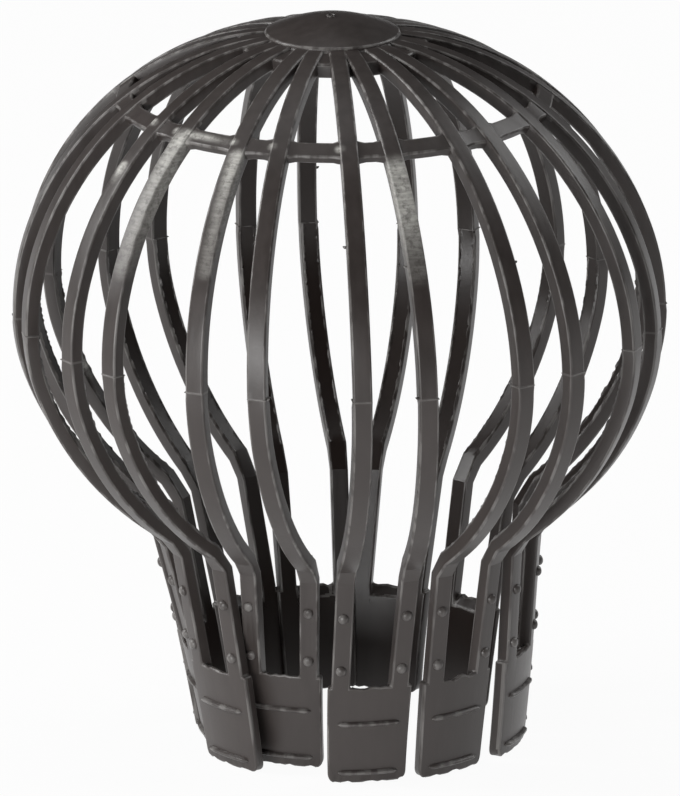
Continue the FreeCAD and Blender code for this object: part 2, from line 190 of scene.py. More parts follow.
# a short flat leads round the bend, then the rib is swept along two arcs of the belly, and along
# two more from the parting line of the mould to the top
RIB_DEPTH = 2.6
PARTING_HEIGHT = 81.5
BALLOON_RADIUS = 60.0
BELLY_OFFSET = 6.011
BELLY_LOW_ARC = {"centre": (5.618, 87.577), "radius": 55.081,
                 "first": -56.775, "last": -18.719, "steps": 16}
BELLY_HIGH_ARC = {"centre": (23.553, PARTING_HEIGHT), "first": -18.719, "last": 0.0, "steps": 8}
BROW_ARC = {"centre": (11.614, PARTING_HEIGHT), "first": 0.0, "last": 18.317, "steps": 8}
CROWN_ARC = {"centre": (5.5, 79.476), "radius": 54.826,
             "first": 18.317, "last": 89.0, "steps": 30}
FIRST_STEP = 2.3
RIB_ANGLE = 5.75
UPPER_WIDTH = 3.5
ROOT_WIDTH = 3.15
ROOT_HEIGHT = 134.3
NARROWING_CURVE = 3


def sweep(arc, off_centre, heading, begin=0.0):
    """Spins what is picked up one arc, in the upright plane that stands at this heading."""
    reach, height = arc["centre"]
    turn = math.radians(heading)
    middle = (reach * math.cos(turn), reach * math.sin(turn) + off_centre, height)
    bpy.ops.mesh.spin(
        steps=arc["steps"], angle=math.radians(arc["last"] - arc["first"] - begin),
        center=middle, axis=(-math.sin(turn), math.cos(turn), 0))


open_piece(finger)
pick("FACE", lambda at, to: at.z > BEND_LOW - NEAR and to.z > ALIGNED)
bpy.ops.mesh.extrude_region_move(TRANSFORM_OT_translate={"value": (0, 0, 0)})
mesh = bmesh.from_edit_mesh(finger.data)
first_turn = math.radians(BELLY_LOW_ARC["first"] + FIRST_STEP)
crease_radius = neck_radius(BEND_LOW)
upright_turn = UPRIGHT_MIDDLE / crease_radius
for corner in mesh.verts:
    if corner.select:
        depth = (corner.co.z - BEND_LOW) / BEND_HEEL * RIB_DEPTH
        side = (math.atan2(corner.co.y, corner.co.x) - upright_turn) * crease_radius
        reach = BELLY_LOW_ARC["radius"] - depth
        corner.co.x = BELLY_LOW_ARC["centre"][0] + reach * math.cos(first_turn)
        corner.co.y = BELLY_OFFSET + side
        corner.co.z = BELLY_LOW_ARC["centre"][1] + reach * math.sin(first_turn)
bmesh.update_edit_mesh(finger.data)
sweep(BELLY_LOW_ARC, BELLY_OFFSET, 0, FIRST_STEP)
sweep(BELLY_HIGH_ARC, BELLY_OFFSET, 0)
rib_middle = (BALLOON_RADIUS * math.cos(math.radians(RIB_ANGLE)), BELLY_OFFSET, PARTING_HEIGHT)
bpy.ops.transform.resize(value=(1, UPPER_WIDTH / RIB_WIDTH, 1), center_override=rib_middle)
bpy.ops.transform.rotate(
    value=-math.radians(RIB_ANGLE), orient_axis="Z", center_override=rib_middle)
sweep(BROW_ARC, 0, RIB_ANGLE)
sweep(CROWN_ARC, 0, RIB_ANGLE)
close_piece()

# the upper ribs narrow towards the cap
rib_turn = math.radians(RIB_ANGLE)
for corner in finger.data.vertices:
    if corner.co.z > PARTING_HEIGHT + NEAR:
        share = (corner.co.z - PARTING_HEIGHT) / (ROOT_HEIGHT - PARTING_HEIGHT)
        side = corner.co.y * math.cos(rib_turn) - corner.co.x * math.sin(rib_turn)
        pull = side * (1 - ROOT_WIDTH / UPPER_WIDTH) * share ** NARROWING_CURVE
        corner.co.x += pull * math.sin(rib_turn)
        corner.co.y -= pull * math.cos(rib_turn)

apply_modifier(finger, "MIRROR", use_axis=(False, True, False), merge_threshold=MERGE_GAP)
open_piece(finger)
merge_open_piece(MERGE_GAP)
close_piece()
apply_modifier(finger, "BEVEL", width=EDGE_ROUND, segments=EDGE_STEPS, limit_method="ANGLE",
               angle_limit=SHARP_ANGLE, use_clamp_overlap=False)

# Pips and grip ridges on the outside of each finger, which bite in the pipe: four small round
# studs on the uprights, and two low bars with tapered ends across the plate, moulded with it.
PIP_HEIGHTS = (22.5, 33.0)
PIP_RADIUS = 1.0
PIP_PROUD = 0.75
PIP_SIDES = 16
PIP_RINGS = 8
RIDGE_HEIGHTS = (2.1, 11.8)
RIDGE_HALF_HEIGHT = 0.5
RIDGE_PROUD = 0.7
RIDGE_HALF_TURN = 10.2
RIDGE_TAPER_TURN = 1.8
RIDGE_END = 0.25
RIDGE_SIDES = 10
RIDGE_STEPS = 18


def seal_open_piece():
    """Closes the ends of the open piece and turns its faces outwards."""
    bpy.ops.mesh.select_all(action="SELECT")
    bpy.ops.mesh.fill_holes(sides=0)
    bpy.ops.mesh.normals_make_consistent(inside=False)


grips = []
for height in PIP_HEIGHTS:
    for side in (-1, 1):
        face = neck_radius(height)
        share = (height - SILL_HEIGHT) / (BEND_LOW - SILL_HEIGHT)
        turn = side * (sill_middle + (UPRIGHT_MIDDLE - sill_middle) * share) / face
        bpy.ops.mesh.primitive_uv_sphere_add(
            segments=PIP_SIDES, ring_count=PIP_RINGS, radius=PIP_RADIUS)
        pip = bpy.context.object
        pip.name = "pip"
        pip.scale = (PIP_PROUD / PIP_RADIUS, 1, 1)
        pip.rotation_euler = (0, 0, turn)
        pip.location = (face * math.cos(turn), face * math.sin(turn), height)
        settle()
        grips.append(pip)
for height in RIDGE_HEIGHTS:
    face = neck_radius(height)
    bpy.ops.mesh.primitive_circle_add(vertices=RIDGE_SIDES, radius=1)
    ridge = bpy.context.object
    ridge.name = "ridge"
    ridge.scale = (RIDGE_PROUD, RIDGE_HALF_HEIGHT, 1)
    ridge.rotation_euler = (math.radians(90), 0, 0)
    settle()
    ridge.location = (face, 0, height)
    settle()
    open_piece(ridge)
    bpy.ops.mesh.select_all(action="SELECT")
    bpy.ops.mesh.spin(steps=RIDGE_STEPS, angle=math.radians(2 * RIDGE_HALF_TURN),
                      center=(0, 0, 0), axis=(0, 0, 1))
    seal_open_piece()
    close_piece()
    turns = [math.atan2(corner.co.y, corner.co.x) for corner in ridge.data.vertices]
    middle = (min(turns) + max(turns)) / 2
    for corner, turn in zip(ridge.data.vertices, turns):
        turn -= middle
        left = math.radians(RIDGE_HALF_TURN) - abs(turn)
        swell = min(1.0, RIDGE_END + left / math.radians(RIDGE_TAPER_TURN))
        reach = face + (math.hypot(corner.co.x, corner.co.y) - face) * swell
        corner.co.x = reach * math.cos(turn)
        corner.co.y = reach * math.sin(turn)
        corner.co.z = height + (corner.co.z - height) * swell
    grips.append(ridge)

# Flash left by the mould: a jagged thread along both inner edges of each belly rib, and a thin lip
# round every rib at the parting line. It is the same plastic squeezed out between the mould halves.
FLASH_SEED = 7
FLASH_SIDES = 4
FLASH_HALF = 0.3
FLASH_INSET = 0.45
FLASH_SUNK = 0.12
# arcs that a thread runs down, how far short of the end it stops, and the jags along it
FLASH_JAGS = ((BELLY_HIGH_ARC, 0.0, 24), (BELLY_LOW_ARC, FIRST_STEP, 50))
FLASH_JAG_LEAST = -0.7
FLASH_JAG_MOST = 0.5
FLASH_JAG_LIFT = 0.4
LIP_PROUD = 0.07
LIP_HALF_HEIGHT = 0.11
LIP_ROUND = EDGE_ROUND * 0.8
random.seed(FLASH_SEED)

for rib_side in (-1, 1):
    for edge_side in (-1, 1):
        bpy.ops.mesh.primitive_circle_add(vertices=FLASH_SIDES, radius=FLASH_HALF)
        thread = bpy.context.object
        thread.name = "thread"
        middle_line = rib_side * BELLY_OFFSET + edge_side * (RIB_WIDTH / 2 - FLASH_INSET)
        thread.location = (rib_middle[0] - RIB_DEPTH + FLASH_SUNK, middle_line, PARTING_HEIGHT)
        settle()
        open_piece(thread)
        bpy.ops.mesh.select_all(action="SELECT")
        for arc, short, jags in FLASH_JAGS:
            bpy.ops.mesh.spin(
                steps=jags, angle=math.radians(arc["first"] + short - arc["last"]),
                center=(arc["centre"][0], 0, arc["centre"][1]), axis=(0, 1, 0))
        seal_open_piece()
        close_piece()
        for corner in thread.data.vertices:
            if abs(corner.co.y - middle_line) < NEAR:
                jag = random.uniform(FLASH_JAG_LEAST, FLASH_JAG_MOST) * FLASH_HALF
                corner.co.x -= jag
                corner.co.z += jag * FLASH_JAG_LIFT
        grips.append(thread)
    bpy.ops.mesh.primitive_cube_add(size=1)
    lip = bpy.context.object
    lip.name = "lip"
    lip.scale = (RIB_DEPTH + 2 * LIP_PROUD, RIB_WIDTH + 2 * LIP_PROUD, 2 * LIP_HALF_HEIGHT)
    lip.location = (rib_middle[0] - RIB_DEPTH / 2, rib_side * BELLY_OFFSET, PARTING_HEIGHT)
    lip.rotation_euler = (0, 0, rib_side * rib_turn / 2)
    settle()
    apply_modifier(lip, "BEVEL", width=LIP_ROUND, segments=EDGE_STEPS, limit_method="ANGLE",
                   angle_limit=SHARP_ANGLE, use_clamp_overlap=True)
    grips.append(lip)


def fuse(body, parts):
    """Runs several closed shells together into one skin."""
    group = bpy.data.collections.new("fused")
    bpy.context.scene.collection.children.link(group)
    for part in parts:
        group.objects.link(part)
    apply_modifier(body, "BOOLEAN", operation="UNION", operand_type="COLLECTION",
                   collection=group, solver="MANIFOLD")
    for part in parts:
        bpy.data.objects.remove(part)
    bpy.data.collections.remove(group)


fuse(finger, grips)

# The twelve fingers stand a little out of line, as springy ones do out of the packet: each has a
# lean in and a lean round of its foot, in millimetres, from the finger at -Y on. Their sills and
# ends are ragged where the plastic was squeezed out.
FINGER_COUNT = 12
FINGER_LEANS = ((0.4, -2.2), (0.0, -1.3), (-1.3, 1.2), (-1.2, 0.0), (1.4, 0.8), (2.6, 2.3),
                (2.6, 0.5), (1.8, -1.3), (1.8, 0.3), (3.0, 0.0), (0.5, 0.7), (7.4, -4.6))
FRONT_HEADING = -90
LEAN_BOW = 1.6
RAG_WAVES = 4
RAG_PACES = (0.6, 3.4)
RAG_STARTS = (0, 6.28)
SILL_RAG = 0.4
SILL_BAND = 0.6
SILL_END = 0.5
FOOT_RAG = 0.7
FOOT_BAND = 0.5
fingers = []
for number, (lean_in, lean_round) in enumerate(FINGER_LEANS):
    copy = bpy.data.objects.new("finger_%d" % number, finger.data.copy())
    bpy.context.scene.collection.objects.link(copy)
    turn = math.radians(number * 360 / FINGER_COUNT + FRONT_HEADING)
    waves = [(random.uniform(*RAG_PACES), random.uniform(*RAG_STARTS)) for wave in range(RAG_WAVES)]
    for corner in copy.data.vertices:
        rag = sum(math.sin(corner.co.y * pace + start) for pace, start in waves) / len(waves)
        on_sill = abs(corner.co.z - SILL_HEIGHT) < SILL_BAND
        if on_sill and abs(corner.co.y) < WINDOW_HALF_SILL - SILL_END:
            corner.co.z += SILL_RAG * rag
        if corner.co.z < FOOT_BAND:
            corner.co.z += FOOT_RAG * max(0.0, rag) * (1 - corner.co.z / FOOT_BAND)
        share = 1 - min(1.0, max(0.0, corner.co.z) / BEND_HEIGHT) ** LEAN_BOW
        x = corner.co.x - lean_in * share
        y = corner.co.y + lean_round * share
        corner.co.x = x * math.cos(turn) - y * math.sin(turn)
        corner.co.y = x * math.sin(turn) + y * math.cos(turn)
    fingers.append(copy)
bpy.data.objects.remove(finger)

# Tie ring: a flat band that runs through all the upper ribs just under their faces and holds them
# apart. It is moulded with them, with a small fillet in each corner where it meets a rib.
RING_RADIUS = 38.9
RING_WIDTH = 3.4
RING_WALL = 2.0
RING_RECESS = 0.42
RING_ROUND = 0.42
RING_ROUND_STEPS = 3
RING_STEPS = 288
RING_MERGE_GAP = 0.005
FILLET_REACH = 1.3
FILLET_SPREAD = 0.45
FILLET_RISE = 0.45
FILLET_CURVE = 2
crown_middle = CROWN_ARC["centre"]
ring_turn = math.acos((RING_RADIUS - crown_middle[0]) / CROWN_ARC["radius"])
ring_height = crown_middle[1] + CROWN_ARC["radius"] * math.sin(ring_turn)
out_x = math.cos(ring_turn)
out_z = math.sin(ring_turn)

# its rounded section is laid square to the ribs' faces and spun round the axis
bpy.ops.mesh.primitive_plane_add(size=1)
ring = bpy.context.object
ring.name = "tie_ring"
ring.scale = (RING_WALL, RING_WIDTH, 1)
settle()
open_piece(ring)
bpy.ops.mesh.select_all(action="SELECT")
bpy.ops.mesh.bevel(offset=RING_ROUND, segments=RING_ROUND_STEPS, affect="VERTICES")
bpy.ops.mesh.delete(type="ONLY_FACE")
close_piece()
ring_sunk = RING_RECESS + RING_WALL / 2
for corner in ring.data.vertices:
    outward = corner.co.x - ring_sunk
    along = corner.co.y
    corner.co.x = RING_RADIUS + outward * out_x + along * out_z
    corner.co.y = 0
    corner.co.z = ring_height + outward * out_z - along * out_x
open_piece(ring)
bpy.ops.mesh.select_all(action="SELECT")
bpy.ops.mesh.spin(steps=RING_STEPS, angle=math.radians(360), center=(0, 0, 0), axis=(0, 0, 1))
merge_open_piece(RING_MERGE_GAP)
close_piece()

# the band swells into fillets beside each rib
rib_step = math.radians(360 / FINGER_COUNT)
for corner in ring.data.vertices:
    turn = math.atan2(corner.co.y, corner.co.x)
    off_pair = (turn + rib_step / 2) % rib_step - rib_step / 2
    clear = abs(abs(off_pair) - rib_turn) * RING_RADIUS - UPPER_WIDTH / 2
    swell = max(0.0, 1 - max(0.0, clear) / FILLET_REACH) ** FILLET_CURVE
    reach = math.hypot(corner.co.x, corner.co.y)
    along = (reach - RING_RADIUS) * out_z - (corner.co.z - ring_height) * out_x
    outward = (reach - RING_RADIUS) * out_x + (corner.co.z - ring_height) * out_z
    if outward > -ring_sunk:
        outward += swell * RING_RECESS * FILLET_RISE
    along *= 1 + swell * FILLET_SPREAD / RING_WIDTH * 2
    reach = RING_RADIUS + outward * out_x + along * out_z
    corner.co.x = reach * math.cos(turn)
    corner.co.y = reach * math.sin(turn)
    corner.co.z = ring_height + outward * out_z - along * out_x

# Hub and cap: a dished disc that gathers the rib ends just under their faces, with a low dome on
# it, all moulded with the ribs. On the dome is the broken stub of the gate, where the plastic was
# let into the mould.
HUB_RADIUS = 17.3
HUB_RECESS = 0.4
HUB_WALL = 2.6
HUB_SIDES = 120
HUB_LOOPS = 5
HUB_ROUND = 0.8
HUB_ROUND_STEPS = 4
HUB_SHARP_ANGLE = math.radians(30)
CAP_RADIUS = 12.4
CAP_STEP = 0.8
CAP_RISE = 3.2
CAP_CURVE = 1.7
CAP_LOOPS = 9
CAP_TIP = 0.4


def crown_height(radius):
    """Height of the ribs' outer faces at this distance from the middle."""
    return crown_middle[1] + math.sqrt(CROWN_ARC["radius"] ** 2 - (radius - crown_middle[0]) ** 2)


# the disc is drawn up loop by loop, from its underside to the tip of the dome
hub_top = crown_height(HUB_RADIUS) - HUB_RECESS
cap_foot = crown_height(CAP_RADIUS) - HUB_RECESS
loops = [(HUB_RADIUS, hub_top)]
for loop in range(1, HUB_LOOPS + 1):
    radius = HUB_RADIUS + (CAP_RADIUS - HUB_RADIUS) * loop / HUB_LOOPS
    loops.append((radius, crown_height(radius) - HUB_RECESS))
for loop in range(CAP_LOOPS + 1):
    radius = CAP_RADIUS * (1 - loop / (CAP_LOOPS + CAP_TIP))
    rise = CAP_RISE * (1 - (radius / CAP_RADIUS) ** CAP_CURVE)
    loops.append((radius, cap_foot + CAP_STEP + rise))
bpy.ops.mesh.primitive_circle_add(
    vertices=HUB_SIDES, radius=HUB_RADIUS, fill_type="NGON", location=(0, 0, hub_top - HUB_WALL))
moulding = bpy.context.object
moulding.name = "leaf_filter_moulding"
settle()
open_piece(moulding)
bpy.ops.mesh.select_all(action="SELECT")
radius_now = HUB_RADIUS
height_now = hub_top - HUB_WALL
for radius, height in loops:
    bpy.ops.mesh.extrude_region_move(
        TRANSFORM_OT_translate={"value": (0, 0, height - height_now)})
    shrink = radius / radius_now
    bpy.ops.transform.resize(value=(shrink, shrink, 1), center_override=(0, 0, 0))
    radius_now = radius
    height_now = height
bpy.ops.mesh.select_all(action="SELECT")
bpy.ops.mesh.normals_make_consistent(inside=False)
close_piece()
apply_modifier(moulding, "BEVEL", width=HUB_ROUND, segments=HUB_ROUND_STEPS,
               limit_method="ANGLE", angle_limit=HUB_SHARP_ANGLE, use_clamp_overlap=True)

# the gate stub, hollow where it was broken off
GATE_RADIUS = 0.8
GATE_SIDES = 14
GATE_LENGTH = 1.2
GATE_PROUD = 0.3
GATE_DROP = 0.12
GATE_RIM = 0.28
GATE_HOLLOW = 0.45
GATE_PLACE = (-0.4, -1.1)
cap_top = cap_foot + CAP_STEP + CAP_RISE
bpy.ops.mesh.primitive_cylinder_add(
    vertices=GATE_SIDES, radius=GATE_RADIUS, depth=GATE_LENGTH,
    location=(*GATE_PLACE, cap_top + GATE_PROUD - GATE_LENGTH / 2 - GATE_DROP))
gate = bpy.context.object
gate.name = "gate_stub"
settle()
open_piece(gate)
pick("FACE", lambda at, to: to.z > ALIGNED)
bpy.ops.mesh.inset(thickness=GATE_RIM, depth=-GATE_HOLLOW)
close_piece()

# Crumbs of flash, bits of the same plastic that were never trimmed off the upper ribs: heading of
# the rib, height on it, and the side of the rib that the crumb hangs on.
CRUMBS = ((-84.25, 81.6, -1), (-95.75, 108.0, -1), (-84.25, 104.5, -1), (-65.75, 103.0, 1),
          (-114.25, 81.5, 1), (-144.25, 96.0, -1), (-24.25, 100.0, 1), (35.75, 110.0, 1),
          (84.25, 92.0, -1), (144.25, 106.0, 1), (-174.25, 90.0, -1))
CRUMB_SIZE = 0.34
CRUMB_FINENESS = 2
CRUMB_STRETCH = (1, 1.9, 0.7)
CRUMB_ROLL = 0.4
CRUMB_PITCH = 0.3
CRUMB_ROUGHNESS = 0.08
CRUMB_DEPTH = 0.9
CRUMB_CLEAR = 0.05
brow_radius = BALLOON_RADIUS - BROW_ARC["centre"][0]
brow_top = PARTING_HEIGHT + brow_radius * math.sin(math.radians(BROW_ARC["last"]))


def upper_rib_reach(height):
    """Distance of the upper ribs' outer faces from the middle at this height."""
    if height > brow_top:
        rise = height - crown_middle[1]
        return crown_middle[0] + math.sqrt(CROWN_ARC["radius"] ** 2 - rise ** 2)
    rise = height - PARTING_HEIGHT
    return BROW_ARC["centre"][0] + math.sqrt(brow_radius ** 2 - rise ** 2)


crumbs = []
for heading, height, side in CRUMBS:
    turn = math.radians(heading)
    reach = upper_rib_reach(height) - CRUMB_DEPTH
    across = side * (UPPER_WIDTH / 2 + CRUMB_CLEAR)
    bpy.ops.mesh.primitive_ico_sphere_add(subdivisions=CRUMB_FINENESS, radius=CRUMB_SIZE)
    crumb = bpy.context.object
    crumb.name = "crumb"
    crumb.scale = CRUMB_STRETCH
    crumb.rotation_euler = (CRUMB_ROLL * side, CRUMB_PITCH, turn)
    crumb.location = (reach * math.cos(turn) - across * math.sin(turn),
                      reach * math.sin(turn) + across * math.cos(turn), height)
    settle()
    for corner in crumb.data.vertices:
        corner.co.z += random.uniform(-CRUMB_ROUGHNESS, CRUMB_ROUGHNESS)
    crumbs.append(crumb)

fuse(moulding, fingers + [ring, gate] + crumbs)

# the cage has been pushed a little to one side on its springy neck, so it leans to the left in
# front, and its ribs stand up to two degrees round from their even places at the back
LEAN = 0.026
LEAN_HEADING = math.radians(-9.7)
SPREAD = math.radians(1.0)
SPREAD_HEADING = math.radians(80)


def out_of_true(x, y, z):
    """Where the leaning cage carries a point, in millimetres."""
    turn = math.atan2(y, x)
    turn += SPREAD * (1 + math.cos(turn - SPREAD_HEADING))
    push = LEAN * (PARTING_HEIGHT - z)
    reach = math.hypot(x, y)
    return (reach * math.cos(turn) + push * math.cos(LEAN_HEADING),
            reach * math.sin(turn) + push * math.sin(LEAN_HEADING), z)


for corner in moulding.data.vertices:
    corner.co = out_of_true(*corner.co)

# to metres, and smooth shaded, with the creases across the ribs at the bend kept crisp
METRES = 0.001
SMOOTH_ANGLE = math.radians(38)
CREASE_LOW = (BEND_LOW - 1.5) * METRES
CREASE_HIGH = (BEND_HEIGHT + 3.0) * METRES
CREASE_SLOPE = 0.4
CREASE_ANGLE = math.radians(11)
choose(moulding)
moulding.scale = (METRES, METRES, METRES)
settle()
bpy.ops.object.shade_smooth_by_angle(angle=SMOOTH_ANGLE)
open_piece(moulding)
mesh = bmesh.from_edit_mesh(moulding.data)
for edge in mesh.edges:
    low, high = sorted(corner.co.z for corner in edge.verts)
    at_bend = CREASE_LOW < (low + high) / 2 < CREASE_HIGH
    across_rib = high - low < CREASE_SLOPE * edge.calc_length()
    if at_bend and across_rib and edge.is_manifold and edge.calc_face_angle() > CREASE_ANGLE:
        edge.smooth = False
bmesh.update_edit_mesh(moulding.data)
close_piece()

# the narrow faces that round off the corners are noted, to be painted pale in the material,
# partly as wear and partly as painted highlights
CORNER_FACE = 0.00045
CORNER_ANGLE = math.radians(9)
mesh = bmesh.new()
mesh.from_mesh(moulding.data)
rounded = []
for face in mesh.faces:
    longest = max(face.edges, key=lambda edge: edge.calc_length())
    narrow = face.calc_area() < CORNER_FACE * longest.calc_length()
    turned = longest.is_manifold and longest.calc_face_angle() > CORNER_ANGLE
    rounded.append(1.0 if narrow and turned else 0.0)
mesh.free()
corner_wear_and_highlight = moulding.data.attributes.new("corner_wear_and_highlight", "FLOAT", "FACE")
corner_wear_and_highlight.data.foreach_set("value", rounded)
apply_modifier(moulding, "WEIGHTED_NORMAL", keep_sharp=True)


# Finish of the moulding: satin black polypropylene with a fine mould grain and faint flow streaks,
# painted paler below the parting line as light from the floor, paler on its edges as wear and as
# painted highlights, painted darker and browner inside the cage as shade, and rubbed to a silvery
# grey with a painted sheen on some upper ribs, with painted highlights on the ring beside the ribs.
def wire(tree, value, target):
    """Wires a socket to the target, or sets the target where the value is a number or colour."""
    if hasattr(value, "is_linked"):
        tree.links.new(value, target)
    else:
        target.default_value = value


def add_node(tree, kind, **settings):
    made = tree.nodes.new(kind)
    for name, value in settings.items():
        setattr(made, name, value)
    return made


def add_math(tree, operation, *values):
    made = add_node(tree, "ShaderNodeMath", operation=operation)
    for slot, value in enumerate(values):
        wire(tree, value, made.inputs[slot])
    return made.outputs["Value"]


def add_vector(tree, operation, *values):
    made = add_node(tree, "ShaderNodeVectorMath", operation=operation)
    for slot, value in enumerate(values):
        wire(tree, value, made.inputs[slot])
    return made


def add_range(tree, value, low, high, low_out=0.0, high_out=1.0):
    """Eases a value from one range into another, whose ends come in this order."""
    made = add_node(tree, "ShaderNodeMapRange", interpolation_type="SMOOTHSTEP")
    wire(tree, value, made.inputs["Value"])
    wire(tree, low, made.inputs["From Min"])
    wire(tree, high, made.inputs["From Max"])
    wire(tree, low_out, made.inputs["To Min"])
    wire(tree, high_out, made.inputs["To Max"])
    return made.outputs["Result"]


def add_noise(tree, place, scale, detail, roughness=0.5):
    made = add_node(tree, "ShaderNodeTexNoise")
    wire(tree, place, made.inputs["Vector"])
    wire(tree, scale, made.inputs["Scale"])
    wire(tree, detail, made.inputs["Detail"])
    wire(tree, roughness, made.inputs["Roughness"])
    return made.outputs["Fac"]


# sockets of a Mix node that blends colours
FIRST_COLOUR = 6
SECOND_COLOUR = 7
MIXED_COLOUR = 2


def add_blend(tree, share, first, second):
    """Colour between two, by share; each may be a socket or a colour."""
    made = add_node(tree, "ShaderNodeMix", data_type="RGBA")
    wire(tree, share, made.inputs["Factor"])
    wire(tree, first, made.inputs[FIRST_COLOUR])
    wire(tree, second, made.inputs[SECOND_COLOUR])
    return made.outputs[MIXED_COLOUR]


# a mark follows a straight line between two points, fades at its edge and towards its end, and
# is broken into brushed strokes and specks; the marks are rubbed wear with a painted sheen,
# painted highlights and pale patches
rub_and_highlight_mark = bpy.data.node_groups.new("rub_and_highlight_mark", "ShaderNodeTree")
for name, kind in (("Place", "NodeSocketVector"), ("Start", "NodeSocketVector"),
                   ("End", "NodeSocketVector"), ("Reach", "NodeSocketFloat")):
    rub_and_highlight_mark.interface.new_socket(name=name, in_out="INPUT", socket_type=kind)
rub_and_highlight_mark.interface.new_socket(name="Mask", in_out="OUTPUT", socket_type="NodeSocketFloat")
given = add_node(rub_and_highlight_mark, "NodeGroupInput")
result = add_node(rub_and_highlight_mark, "NodeGroupOutput")
# share of its reach where a mark is full, and how it fades along its length
MARK_CORE = 0.1
MARK_FADING = (0.35, 1.0, 1.0, 0.25)
BRUSHED = (420, 420, 3000)
STROKE_DETAIL = 3
STROKES = (0.3, 0.7, 0.62, 1.0)
SPECK_SCALE = 900
SPECK_DETAIL = 4
SPECK_ROUGHNESS = 0.7
SPECKS = (0.32, 0.56, 0.4, 1.0)
from_start = add_vector(rub_and_highlight_mark, "SUBTRACT", given.outputs["Place"], given.outputs["Start"])
line = add_vector(rub_and_highlight_mark, "SUBTRACT", given.outputs["End"], given.outputs["Start"])
reached = add_vector(rub_and_highlight_mark, "DOT_PRODUCT", from_start.outputs["Vector"], line.outputs["Vector"])
whole = add_vector(rub_and_highlight_mark, "DOT_PRODUCT", line.outputs["Vector"], line.outputs["Vector"])
along = add_math(rub_and_highlight_mark, "DIVIDE", reached.outputs["Value"], whole.outputs["Value"])
along = add_math(rub_and_highlight_mark, "MINIMUM", add_math(rub_and_highlight_mark, "MAXIMUM", along, 0.0), 1.0)
nearest = add_node(rub_and_highlight_mark, "ShaderNodeVectorMath", operation="SCALE")
wire(rub_and_highlight_mark, line.outputs["Vector"], nearest.inputs[0])
wire(rub_and_highlight_mark, along, nearest.inputs["Scale"])
off_line = add_vector(rub_and_highlight_mark, "SUBTRACT", from_start.outputs["Vector"], nearest.outputs["Vector"])
away = add_vector(rub_and_highlight_mark, "LENGTH", off_line.outputs["Vector"])
nearness = add_math(rub_and_highlight_mark, "DIVIDE", away.outputs["Value"], given.outputs["Reach"])
fade = add_range(rub_and_highlight_mark, nearness, 1.0, MARK_CORE)
fade = add_math(rub_and_highlight_mark, "MULTIPLY", fade, add_range(rub_and_highlight_mark, along, *MARK_FADING))
lines = add_vector(rub_and_highlight_mark, "MULTIPLY", given.outputs["Place"], BRUSHED)
strokes = add_noise(rub_and_highlight_mark, lines.outputs["Vector"], 1, STROKE_DETAIL)
strokes = add_range(rub_and_highlight_mark, strokes, *STROKES)
specks = add_noise(rub_and_highlight_mark, given.outputs["Place"], SPECK_SCALE, SPECK_DETAIL, SPECK_ROUGHNESS)
specks = add_range(rub_and_highlight_mark, specks, *SPECKS)
broken = add_math(rub_and_highlight_mark, "MULTIPLY", strokes, specks)
wire(rub_and_highlight_mark, add_math(rub_and_highlight_mark, "MULTIPLY", fade, broken), result.inputs["Mask"])


def on_moulding(heading, reach, height):
    """Point of the leaning moulding in metres, from its true heading, reach and height."""
    turn = math.radians(heading)
    place = out_of_true(reach * math.cos(turn), reach * math.sin(turn), height)
    return [value * METRES for value in place]


def on_upper_rib(heading, height):
    return on_moulding(heading, upper_rib_reach(height), height)


def on_ring(heading):
    return on_moulding(heading, RING_RADIUS, ring_height)


# start, end and reach of each mark: three rubbed ribs with a painted sheen, the ring beside
# them, painted highlights on the ring where it crosses the ribs, and two pale patches
RUB_AND_HIGHLIGHT_MARKS = (
    (on_upper_rib(-143.7, 122.0), on_upper_rib(-143.7, 101.0), 0.0030),
    (on_upper_rib(-125.0, 121.0), on_upper_rib(-125.2, 103.0), 0.0022),
    (on_upper_rib(-84.25, 119.5), on_upper_rib(-84.25, 104.5), 0.0042),
    (on_ring(-143.0), on_ring(-130.0), 0.0012),
    (on_ring(-157.2), on_ring(-156.2), 0.0012),
    (on_ring(-147.6), on_ring(-147.0), 0.0012),
    (on_ring(-127.6), on_ring(-127.0), 0.0011),
    (on_ring(-116.6), on_ring(-116.0), 0.0011),
    (on_ring(-98.4), on_ring(-97.8), 0.0012),
    (on_upper_rib(-156.0, 116.0), on_upper_rib(-156.0, 114.0), 0.0016),
    ((-0.0428, 0.0300, 0.0640), (-0.0424, 0.0299, 0.0630), 0.0030),
)

DARK_PLASTIC = (0.033, 0.026, 0.0235, 1)
PALE_PLASTIC = (0.050, 0.041, 0.038, 1)
# painted light: the lower half is paler where light bounces up from the floor
LOWER_LIT_PLASTIC = (0.055, 0.046, 0.043, 1)
# painted shade inside the cage, also used for the darker streaks at the fingers' ends
INNER_SHADE_AND_FOOT_DARK = (0.014, 0.008, 0.006, 1)
# pale of worn corners and parting line, with painted highlights on them
WORN_AND_HIGHLIT_PALE = (0.21, 0.2, 0.192, 1)
# rubbed grey with a painted sheen, and painted highlights on the ring
RUBBED_AND_HIGHLIT_PLASTIC = (0.62, 0.61, 0.57, 1)

